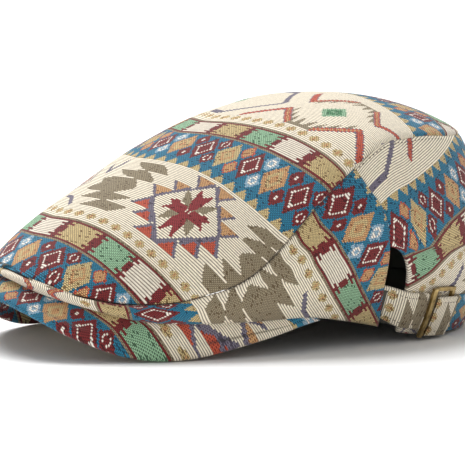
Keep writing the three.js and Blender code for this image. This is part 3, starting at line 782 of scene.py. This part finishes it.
    # Every float is dyed a little differently
    value = add(tree, RANGE, chance, 0.0, 1.0, 0.9, 1.08)
    colour = add(tree, "ShaderNodeHueSaturation", 0.5, 1.0, value, 1.0, woven)
    relief = add(tree, "SUBTRACT", 1.0, dark)
    group_output = tree.nodes.new("NodeGroupOutput")
    tree.links.new(colour, group_output.inputs[0])
    tree.links.new(relief, group_output.inputs[1])
    return tree


KILIM, LINING = "Kilim jacquard cloth", "Black polyester lining"
SEWING, BRASS, PAPER = "Brown polyester thread", "Aged brass", "White studio paper"
LINING_GRAIN = 900.0  # about 1.1 mm, coarser than a real lining's weave so that it shows
TWIST_GRAIN = 900.0   # a Wave node's bands at this scale are about 0.35 mm apart
BRASS_GRAIN = 260.0   # worn patches about 4 mm wide
PAPER_GRAIN = 400.0   # about 2.5 mm, coarser than real paper


def shader(name, colour, roughness, **sockets):
    """A material with its Principled shader's constants set; colour may be a hex code or None."""
    material = bpy.data.materials.new(name)
    material.use_nodes = True
    tree = material.node_tree
    body = tree.nodes["Principled BSDF"]
    if colour:
        body.inputs["Base Color"].default_value = hexed(colour)
    body.inputs["Roughness"].default_value = roughness
    for key, value in sockets.items():
        body.inputs[key.replace("_", " ")].default_value = value
    return material, tree, body


def kilim_cloth(group, relief):
    # Cotton-polyester jacquard: a matt ribbed face whose raised threads catch a soft sheen
    _, tree, body = shader(KILIM, None, 0.86, Sheen_Weight=0.15, Sheen_Roughness=0.5, IOR=1.45)
    weave = add(tree, "ShaderNodeGroup", node_tree=group).node
    tree.links.new(weave.outputs["Color"], body.inputs["Base Color"])
    ribs = add(tree, BUMP, named={"Strength": 0.6, "Distance": relief,
                                  "Height": weave.outputs["Height"]})
    tree.links.new(ribs, body.inputs["Normal"])


def lining_cloth():
    # Black polyester lining: smooth, dark, with a fine plain weave
    _, tree, body = shader(LINING, "45463F", 0.7, IOR=1.45)
    place = add(tree, PLACE, output="Object")
    weave = add(tree, NOISE, named={"Vector": place, "Scale": LINING_GRAIN, "Detail": 2.0})
    relief = add(tree, BUMP, named={"Strength": 0.3, "Distance": 0.3 * MM, "Height": weave})
    tree.links.new(relief, body.inputs["Normal"])


def sewing_thread():
    # Spun polyester sewing thread: dark brown, slightly glossy, twisted
    _, tree, body = shader(SEWING, "3A2A1E", 0.6, IOR=1.45)
    place = add(tree, PLACE, output="Object")
    twist = add(tree, "ShaderNodeTexWave",
                named={"Vector": place, "Scale": TWIST_GRAIN, "Distortion": 1.0})
    relief = add(tree, BUMP, named={"Strength": 0.4, "Distance": 0.1 * MM, "Height": twist})
    tree.links.new(relief, body.inputs["Normal"])


def aged_brass():
    # Stamped brass, lacquer worn: warm, satin, duller in patches
    _, tree, body = shader(BRASS, None, 0.42, Metallic=1.0)
    place = add(tree, PLACE, output="Object")
    patches = add(tree, NOISE, named={"Vector": place, "Scale": BRASS_GRAIN, "Detail": 4.0})
    tone = add(tree, RAMP, patches)
    band = tone.node.color_ramp
    band.elements[0].position, band.elements[0].color = 0.35, hexed("7C6842")
    band.elements[1].position, band.elements[1].color = 0.65, hexed("B39A66")
    tree.links.new(tone, body.inputs["Base Color"])
    rough = add(tree, RANGE, patches, 0.3, 0.7, 0.5, 0.34)
    tree.links.new(rough, body.inputs["Roughness"])


def studio_paper():
    # White background paper: matt, with a faint tooth
    material, tree, body = shader(PAPER, "FFFFFF", 0.9)
    place = add(tree, PLACE, output="Object")
    tooth = add(tree, NOISE, named={"Vector": place, "Scale": PAPER_GRAIN})
    relief = add(tree, BUMP, named={"Strength": 0.05, "Distance": 0.2 * MM, "Height": tooth})
    tree.links.new(relief, body.inputs["Normal"])
    return material


# Pieces
def rolled(points, inside, to_edge, uneven, size, seed, flat):
    """A panel's sheet, rolled in at its seams and a little uneven away from them."""
    roll = -ROLL_DEPTH * np.exp(-(to_edge / ROLL_WIDTH) ** 2)
    waves = uneven * wobble(points, size, seed) * np.clip(to_edge / flat, 0, 1)
    return points + outward(points, inside) * (roll + waves)[..., None]


def wall_panel(name, angle, height, cloth_of, seed):
    """A panel of the crown's wall, on rows of the given heights."""
    high = np.broadcast_to(height, angle.shape)
    points = wall(angle, high)
    up = run_length(points, 0)
    to_edge = np.minimum(up, up[-1:] - up)
    cloth = cloth_of(angle, up, high)
    return cloth_piece(name, rolled(points, PANEL_INSIDE, to_edge, 0.35, 60, seed, 8), cloth)


def make_side(rows=46, columns=330):
    """The side panel, from one rear seam round the front to the other."""
    share = np.linspace(0, 1, columns)[None]
    height = np.linspace(0, 1, rows)[:, None]
    rear = smooth_table(REAR_SEAM, height)
    return wall_panel("side_cloth", rear + (360 - 2 * rear) * share, height, side_cloth, 3)


def make_back(rows=60, columns=210):
    """The back panel, cut out over the strap."""
    share = np.linspace(0, 1, columns)[None]
    height = np.linspace(0, 1, rows)[:, None]
    rear = smooth_table(REAR_SEAM, height)
    rise = np.clip((height - ARCH_SPRING) / (ARCH_TOP - ARCH_SPRING), 0, 1)
    arch = ARCH_DEG * np.sqrt(1 - rise ** 2)
    return wall_panel("back_cloth", (2 * rear - arch) * share - rear, height, back_cloth, 5)


def ridge_feet(stations, seam):
    """Where a plane square to the ridge through each point of the seam meets the ridge, in y."""
    front, back = RIDGE[0, 0], RIDGE[-1, 0]
    low, high = np.full(len(stations), front), np.full(len(stations), back)
    for _ in range(40):
        middle = (low + high) / 2
        here = smooth_table(RIDGE, middle)
        slope = smooth_table(RIDGE, middle + 0.5) - smooth_table(RIDGE, middle - 0.5)
        ahead = (seam[:, 1] - middle) + (seam[:, 2] - here) * slope > 0
        low, high = np.where(ahead, middle, low), np.where(ahead, high, middle)
    feet = (low + high) / 2
    feet[0], feet[-1] = back, front
    return feet


def make_top(rows=200, columns=150):
    """The top panel: lines across the crown, from seam to seam, in planes square to the ridge."""
    stations = np.linspace(0, 180, 1441)
    seam = station_point(CROWN, SEAM, stations)
    foot = ridge_feet(stations, seam)
    ridge_y = np.linspace(RIDGE[0, 0], RIDGE[-1, 0], 2001)
    ridge_run = run_length(np.stack((ridge_y, smooth_table(RIDGE, ridge_y)), -1), 0)
    foot_run = np.interp(foot, ridge_y, ridge_run)
    # Rows at even steps of distance along the ridge and the seam together
    walk = run_length(seam, 0) + (foot_run[0] - foot_run)
    even = np.interp(np.linspace(0, walk[-1], rows), walk, stations)
    foot = np.interp(even, stations, foot)
    v = np.interp(foot, ridge_y, ridge_run)
    seam_y = station_point(CROWN, SEAM, even)[:, 1]
    dense = np.sin(np.linspace(-math.pi / 2, math.pi / 2, 801))
    arch = np.maximum(0, 1 - np.abs(dense) ** TOP_SQUARE) ** (1 / TOP_ROUND)
    y = foot[:, None] + (seam_y - foot)[:, None] * (1 - arch)[None]
    order = np.argsort(seam[:, 1])
    wide = np.interp(y, seam[order, 1], seam[order, 0])
    seam_z = np.interp(y, seam[order, 1], seam[order, 2])
    z = seam_z + (smooth_table(RIDGE, y) - seam_z) * arch[None]
    line = np.stack((dense[None] * wide, y, z), -1)
    run = run_length(line, 1)
    points = np.empty((rows, columns, 3))
    u = np.empty((rows, columns))
    for i in range(rows):
        at = np.linspace(0, run[i, -1], columns)
        u[i] = at - run[i, -1] / 2
        for k in range(3):
            points[i, :, k] = (np.interp(at, run[i], line[i, :, k]) if run[i, -1] > 0
                               else line[i, 0, k])
    cloth = top_cloth(u, np.broadcast_to(v[:, None], u.shape))
    to_edge = run[:, -1:] / 2 - np.abs(u)
    points = rolled(points, TOP_INSIDE, to_edge, 0.5, 70, 7, 10)
    return cloth_piece("top_cloth", points, cloth, merge=0.02)


PEAK_SIDE = 97        # the peak's end, in degrees from the middle of the back
PEAK_THIN, PEAK_THICKER = 1.4, 2.2  # its thickness at its ends, and how much it gains
PEAK_FACE = 0.47      # the share of its section on each face; the rest goes round the edge


def make_peak(rows=70, columns=260):
    """The peak, round its section: along the top face, round the edge, back along the underside."""
    angle = np.linspace(PEAK_SIDE, 360 - PEAK_SIDE, columns)
    from_end = np.where(angle > 180, 360 - angle, angle) - PEAK_SIDE
    thick = PEAK_THIN + PEAK_THICKER * np.clip(from_end / 15, 0, 1)
    thick = thick * np.clip(from_end, 0, 1)
    turn = np.linspace(0, 1, rows)
    face = np.clip(np.where(turn < 0.5, turn / PEAK_FACE, (1 - turn) / PEAK_FACE), 0, 1)
    grid_t = np.broadcast_to(face[:, None], (rows, columns))
    grid_a = np.broadcast_to(angle[None], (rows, columns))
    along = peak_sheet(grid_a + 0.5, grid_t) - peak_sheet(grid_a - 0.5, grid_t)
    out = peak_sheet(grid_a, grid_t + 0.01) - peak_sheet(grid_a, grid_t - 0.01)
    normal = np.cross(along, out)
    normal /= np.linalg.norm(normal, axis=-1, keepdims=True)
    normal *= np.sign(normal[..., 2:3])
    out /= np.linalg.norm(out, axis=-1, keepdims=True)
    half = np.broadcast_to(thick[None] / 2, (rows, columns))
    # Half a turn round the edge, from the top face to the underside; the faces meet at the root
    bend = np.clip((turn - PEAK_FACE) / (1 - 2 * PEAK_FACE), 0, 1)[:, None] * math.pi
    root = np.clip(grid_t / 0.06, 0, 1)
    lift = half * np.cos(bend) * root - GAP - half
    past = half * (np.sin(bend) - 1) * (grid_t > 0.9)
    points = peak_sheet(grid_a, grid_t) + lift[..., None] * normal + past[..., None] * out
    return cloth_piece("peak_cloth", points, peak_cloth(points), merge=0.02)


def strap_off(angle):
    """How far the strap stands off the wall: its end is sewn inside the side panel."""
    inside = -CLOTH_THICK - SEWN_IN - STRAP_THICK
    start, end = STRAP_RISE
    return inside + (STAND_OFF - inside) * min(1, max(0, (start - angle) / (start - end)))


def tab_off(angle):
    """How far the tab stands off the wall: over the strap, then down to the back panel."""
    above = STAND_OFF + STRAP_THICK + GAP
    start, end = TAB_FALL
    return above + (STAND_OFF - above) * max(0, (start - angle) / (start - end))


def band_off(angle):
    """How far the hem's band stands off the wall, the same all along."""
    return BAND_OFF


def strap_piece(name, start, end, span, stand_off, thick, columns, cloth_start, rows=26):
    """A folded band of cloth round the wall: rounded edges, both faces, closed all round."""
    angle = np.linspace(start, end, columns)
    grid_a, grid_h = np.meshgrid(angle, np.linspace(*span, rows))
    base, normal = wall(grid_a, grid_h), wall_normal(grid_a, grid_h)
    offset = np.array([stand_off(a) for a in angle])[None]
    steps = np.linspace(0, 1, 60)
    rise = run_length(wall(np.full(60, (start + end) / 2), steps), 0)
    b = np.interp(grid_h, steps, rise)
    edge = np.minimum(b - b[:1], b[-1:] - b)
    round_off = 1 - np.sqrt(np.clip(1 - (1 - np.clip(edge / (thick * 0.5), 0, 1)) ** 2, 0, 1))
    pinch = PINCH_DEPTH * np.exp(-((edge - PINCH_PLACE) / PINCH_WIDTH) ** 2)
    outer = base + normal * (offset + thick * (1 - 0.5 * round_off) - pinch)[..., None]
    inner = base + normal * (offset + thick * 0.5 * round_off)[..., None]
    both = np.concatenate((outer, inner[::-1]), 0)
    cloth = np.stack((28 - b, cloth_start - belly_run(grid_a)), -1)
    cloth = np.concatenate((cloth, cloth[::-1]), 0)
    both = np.concatenate((both, both[:1]), 0)
    cloth = np.concatenate((cloth, cloth[:1]), 0)
    # Its ends are drawn together
    for column in (0, -1):
        middle = (both[:rows, column] + both[rows:2 * rows, column][::-1]) / 2
        both[:rows, column] = middle
        both[rows:2 * rows, column] = middle[::-1]
        both[-1, column] = both[0, column]
    piece = cloth_piece(name, both, cloth, merge=0.01)
    close_up(piece)
    return piece


def tube(name, path, radius, around=8):
    """A closed round cord through a closed path."""
    ahead = np.roll(path, -1, 0) - np.roll(path, 1, 0)
    ahead /= np.linalg.norm(ahead, axis=-1, keepdims=True)
    side = np.cross(ahead, (0, 0, 1.0))
    side /= np.linalg.norm(side, axis=-1, keepdims=True)
    up = np.cross(side, ahead)
    turn = np.linspace(0, 2 * math.pi, around + 1)[:, None, None]
    points = path[None] + radius * (np.cos(turn) * side[None] + np.sin(turn) * up[None])
    points = np.concatenate((points, points[:, :1]), 1)
    return cloth_piece(name, points, points[..., :2], merge=0.01)


def make_binding(steps=240):
    """Binding over the crown seam's turned-in edges, inside the cap and a little below them."""
    angle = np.linspace(0, 360, steps, endpoint=False)
    inwards = -wall_normal(angle, np.full(steps, 0.95)) - (0, 0, 0.9)
    inwards /= np.linalg.norm(inwards, axis=-1, keepdims=True)
    seam = wall(angle, np.full(steps, 1.0))
    return tube("seam_binding", seam + BINDING_IN * inwards, BINDING_RADIUS)


def make_sweatband(rows=10, columns=300):
    """The band inside the hem, closed all round."""
    angle = np.broadcast_to(np.linspace(0, 360, columns)[None], (rows, columns))
    height = np.broadcast_to(np.linspace(*SWEATBAND_SPAN, rows)[:, None], (rows, columns))
    face, normal = wall(angle, height), wall_normal(angle, height)
    outer, inner = face - SWEATBAND_OUTER * normal, face - SWEATBAND_INNER * normal
    sheet = np.concatenate((outer, inner[::-1], outer[:1]), 0)
    return cloth_piece("sweatband", sheet, sheet[..., :2], merge=0.01)


def stitches(name, angle, height, lift, step, long, thick):
    """A row of short threads along the wall at one height, each a six-sided bead drawn out."""
    height = np.full(len(angle), height)
    normal = wall_normal(angle, height)
    path = wall(angle, height) + lift * normal + (0, CENTRE_Y, 0)
    run = run_length(path, 0)

    def at_run(values, at):
        return np.array([np.interp(at, run, values[:, k]) for k in range(3)])

    shell = bmesh.new()
    for at in np.arange(step, run[-1] - step, step):
        here, out = at_run(path, at), at_run(normal, at)
        along = at_run(path, at + 0.5) - here
        along /= np.linalg.norm(along)
        axes = np.stack((np.cross(out, along), out, along), 1) * (thick, thick * 0.6, long)
        place = Matrix([(*axis, centre) for axis, centre in zip(axes, here)] + [(0, 0, 0, 1)])
        bmesh.ops.create_uvsphere(shell, u_segments=6, v_segments=4, radius=0.5, matrix=place)
    bmesh.ops.scale(shell, vec=(MM, MM, MM), verts=shell.verts[:])
    return finish_mesh(name, shell)


def make_stitches():
    """Top stitches beside the crown seam and along the strap and its tab."""
    rows = []
    angle = np.linspace(60, 178, 500)
    for side, turned in (("left", angle), ("right", 360 - angle)):
        rows.append(stitches("crown_stitches_" + side, turned, 1 - 1.6 / 90, 0.1, *CROWN_STITCH))
    for name, start, end, (low, high), stand_off in (
            ("strap_stitches_", 84.5, 70.5, STRAP_SPAN, strap_off),
            ("tab_stitches_", 67, 60, TAB_SPAN, tab_off)):
        angle = np.linspace(start, end, 120)
        lift = np.array([stand_off(a) for a in angle])[:, None] + STRAP_THICK - 0.12
        for edge, height in (("top", high - 0.028), ("bottom", low + 0.028)):
            rows.append(stitches(name + edge, angle, height, lift, *STRAP_STITCH))
    return rows


def face_out(piece):
    """Turns an open shell so that it faces away from the middle of the cap."""
    mesh = piece.data
    middle = Vector((0, 0, 40)) * MM
    total = sum((face.center - middle).dot(face.normal) * face.area for face in mesh.polygons)
    if total < 0:
        mesh.flip_normals()


def close_up(piece):
    """Closes a shell's open ends and points its faces outwards."""
    shell = bmesh.new()
    shell.from_mesh(piece.data)
    bmesh.ops.dissolve_degenerate(shell, dist=0.00001, edges=shell.edges[:])
    edges = [edge for edge in shell.edges if edge.is_boundary]
    if edges:
        bmesh.ops.holes_fill(shell, edges=edges, sides=0)
    bmesh.ops.recalc_face_normals(shell, faces=shell.faces[:])
    shell.to_mesh(piece.data)
    shell.free()

# The add-on
class FlatCapSizes(bpy.types.PropertyGroup):
    """The sizes that a user may change"""
    cloth: bpy.props.FloatProperty(name="Cloth", description="Thickness of the crown's cloth",
                                   default=CLOTH_THICK * MM, unit="LENGTH")
    relief: bpy.props.FloatProperty(name="Rib relief", description="Height of the cloth's ribs",
                                    default=RELIEF * MM, unit="LENGTH")


class FLATCAP_OT_materials(bpy.types.Operator):
    """Makes the cap's cloths, thread and brass"""
    bl_idname = "flatcap.materials"
    bl_label = "Cloths and brass"

    def execute(self, context):
        kilim_cloth(pattern_group(), context.scene.flat_cap.relief)
        lining_cloth()
        sewing_thread()
        aged_brass()
        return {"FINISHED"}


class FLATCAP_OT_crown(bpy.types.Operator):
    """Makes the crown's top, side and back panels"""
    bl_idname = "flatcap.crown"
    bl_label = "Crown"

    def execute(self, context):
        for make, node in ((make_top, "top_panel"), (make_side, "side_panel"),
                           (make_back, "back_panel")):
            piece = make()
            face_out(piece)
            thicken(piece, context.scene.flat_cap.cloth)
            dress(piece, (KILIM, LINING), "kilim_cloth", node)
        return {"FINISHED"}


class FLATCAP_OT_peak(bpy.types.Operator):
    """Makes the cloth-covered peak"""
    bl_idname = "flatcap.peak"
    bl_label = "Peak"

    def execute(self, context):
        piece = make_peak()
        close_up(piece)
        dress(piece, (KILIM,), "kilim_cloth", "peak")
        return {"FINISHED"}


class FLATCAP_OT_strap(bpy.types.Operator):
    """Makes the adjusting strap, its folded tab, the hem's band and the brass slide's finish"""
    bl_idname = "flatcap.strap"
    bl_label = "Strap and slide"

    def execute(self, context):
        strap = strap_piece("strap_cloth", 90.5, 66.5, STRAP_SPAN, strap_off, STRAP_THICK, 50, 204)
        dress(strap, (KILIM,), "strap_cloth", "strap")
        tab = strap_piece("tab_cloth", 68.6, 58.6, TAB_SPAN, tab_off, STRAP_THICK, 26, 175)
        dress(tab, (KILIM,), "strap_cloth", "strap_tab")
        band = strap_piece("hem_band", 58.8, 1.5, BAND_SPAN, band_off, BAND_THICK, 90, 212)
        dress(band, (KILIM,), "strap_cloth")
        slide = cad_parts["slide_buckle"]
        slide.data.materials.clear()
        slide.data.materials.append(bpy.data.materials[BRASS])
        return {"FINISHED"}


class FLATCAP_OT_sewing(bpy.types.Operator):
    """Makes the seam binding, the sweatband and the stitches"""
    bl_idname = "flatcap.sewing"
    bl_label = "Sewing"

    def execute(self, context):
        for piece in (make_binding(), make_sweatband()):
            close_up(piece)
            dress(piece, (LINING,), "kilim_cloth")
        for piece in make_stitches():
            dress(piece, (SEWING,), "kilim_cloth")
        return {"FINISHED"}


class FLATCAP_OT_stage(bpy.types.Operator):
    """Makes the floor, the studio light and the camera"""
    bl_idname = "flatcap.stage"
    bl_label = "Stage"

    def execute(self, context):
        shell = bmesh.new()
        bmesh.ops.create_circle(shell, cap_ends=True, segments=64, radius=FLOOR_RADIUS)
        floor = finish_mesh("floor", shell, smooth_faces=False)
        floor.data.materials.append(studio_paper())

        world = bpy.data.worlds.new("Studio")
        world.use_nodes = True
        context.scene.world = world
        world.node_tree.nodes["Background"].inputs["Color"].default_value = (1, 1, 1, 1)
        world.node_tree.nodes["Background"].inputs["Strength"].default_value = AMBIENT
        context.scene.view_settings.view_transform = "Standard"

        for name, place, spread, power in LIGHTS:
            light = bpy.data.lights.new(name, "SUN")
            light.angle = spread
            light.energy = power
            lamp = bpy.data.objects.new(name, light)
            lamp.location = place
            lamp.rotation_euler = Vector(place).to_track_quat("Z", "Y").to_euler()
            context.scene.collection.objects.link(lamp)

        turn, lift = math.radians(CAMERA_TURN), math.radians(CAMERA_LIFT)
        back = Vector((math.sin(turn) * math.cos(lift), -math.cos(turn) * math.cos(lift),
                       math.sin(lift)))
        camera = bpy.data.objects.new("camera", bpy.data.cameras.new("camera"))
        camera.data.lens = CAMERA_LENS
        camera.data.sensor_width = 36
        camera.data.sensor_fit = "HORIZONTAL"
        camera.data.clip_end = 50
        camera.location = Vector(CAMERA_TARGET) * MM + back * CAMERA_AWAY
        camera.rotation_euler = back.to_track_quat("Z", "Y").to_euler()
        context.scene.collection.objects.link(camera)
        context.scene.camera = camera
        return {"FINISHED"}


class FLATCAP_PT_panel(bpy.types.Panel):
    """Lists the cap's pieces"""
    bl_idname = "FLATCAP_PT_panel"
    bl_label = "Flat cap"
    bl_space_type = "VIEW_3D"
    bl_region_type = "UI"
    bl_category = "Flat cap"

    def draw(self, context):
        for prop in FlatCapSizes.__annotations__:
            self.layout.prop(context.scene.flat_cap, prop)
        for operator in OPERATORS:
            self.layout.operator(operator.bl_idname)


OPERATORS = (FLATCAP_OT_materials, FLATCAP_OT_crown, FLATCAP_OT_peak, FLATCAP_OT_strap,
             FLATCAP_OT_sewing, FLATCAP_OT_stage)
CLASSES = (FlatCapSizes,) + OPERATORS + (FLATCAP_PT_panel,)


def register():
    for cls in CLASSES:
        bpy.utils.register_class(cls)
    bpy.types.Scene.flat_cap = bpy.props.PointerProperty(type=FlatCapSizes)


def unregister():
    del bpy.types.Scene.flat_cap
    for cls in reversed(CLASSES):
        bpy.utils.unregister_class(cls)


def main():
    register()
    bpy.ops.flatcap.materials()
    bpy.ops.flatcap.crown()
    bpy.ops.flatcap.peak()
    bpy.ops.flatcap.strap()
    bpy.ops.flatcap.sewing()
    bpy.ops.flatcap.stage()


if __name__ == "__main__":
    main()
